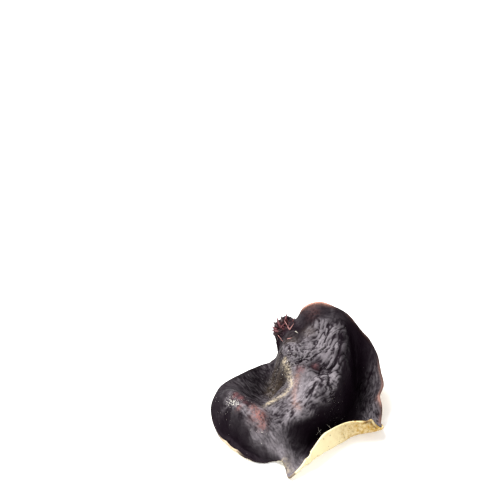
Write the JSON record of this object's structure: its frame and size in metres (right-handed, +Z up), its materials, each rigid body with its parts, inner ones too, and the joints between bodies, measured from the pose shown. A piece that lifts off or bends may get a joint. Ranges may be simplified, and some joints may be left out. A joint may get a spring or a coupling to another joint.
{
  "type": "dried wood ear mushroom",
  "caption": "Whole dried wood ear: a thin leathery sheet, almost black above and pale felt below, curled into a high swell, a deep hollow, a valley and a turned-up front rim.",
  "frame": {"origin": "on the surface that the ear lies on, under the middle of its box", "axes": "+Z up, -Y towards the turned-up front rim, +X towards the nicked margin on the right"},
  "size_m": [0.073, 0.0748, 0.0313],
  "materials": {
    "ear": "dry, wrinkled and leathery, semi-gloss on the dark side, felted on the pale side"
  },
  "bodies": {
    "root": {"wood_ear": "ear"}
  },
  "joints": []
}
